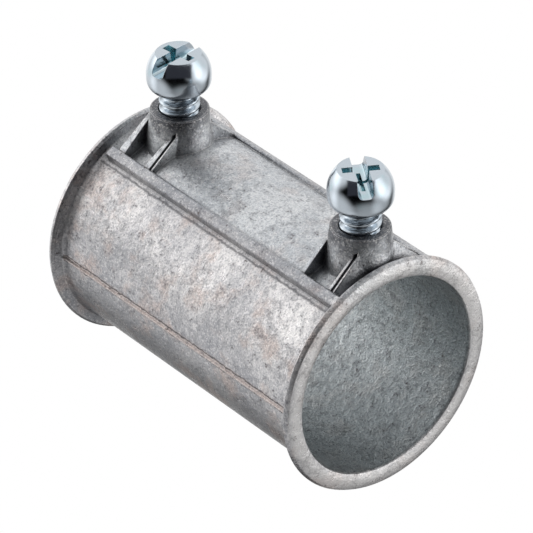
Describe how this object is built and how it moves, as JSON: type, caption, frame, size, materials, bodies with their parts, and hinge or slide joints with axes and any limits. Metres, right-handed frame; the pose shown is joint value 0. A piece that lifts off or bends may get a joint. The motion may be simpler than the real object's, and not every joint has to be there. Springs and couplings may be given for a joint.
{
  "type": "conduit coupling",
  "caption": "Die-cast set-screw coupling that joins two lengths of thin-wall metal conduit end to end, shown with its screws backed out.",
  "frame": {"origin": "centre of the bore at the lower end face, on which the coupling stands", "axes": "+Z along the bore towards the upper end, +X towards the heads of the screws"},
  "size_m": [0.0388, 0.0286, 0.043],
  "materials": {
    "zinc_casting": "as-cast zinc alloy, dull grey with a mottled skin",
    "plated_steel": "bright zinc plate with a faint blue cast"
  },
  "bodies": {
    "coupling": {"coupling_body": "zinc_casting"},
    "lower_screw": {"lower_set_screw": "plated_steel"},
    "upper_screw": {"upper_set_screw": "plated_steel"}
  },
  "joints": [
    {"name": "lower_screw_travel", "type": "slide", "parent": "coupling", "child": "lower_screw", "axis": [-1, 0, 0], "range_m": [-0.004, 0.0026]},
    {"name": "upper_screw_travel", "type": "slide", "parent": "coupling", "child": "upper_screw", "axis": [-1, 0, 0], "range_m": [-0.004, 0.0026]}
  ]
}
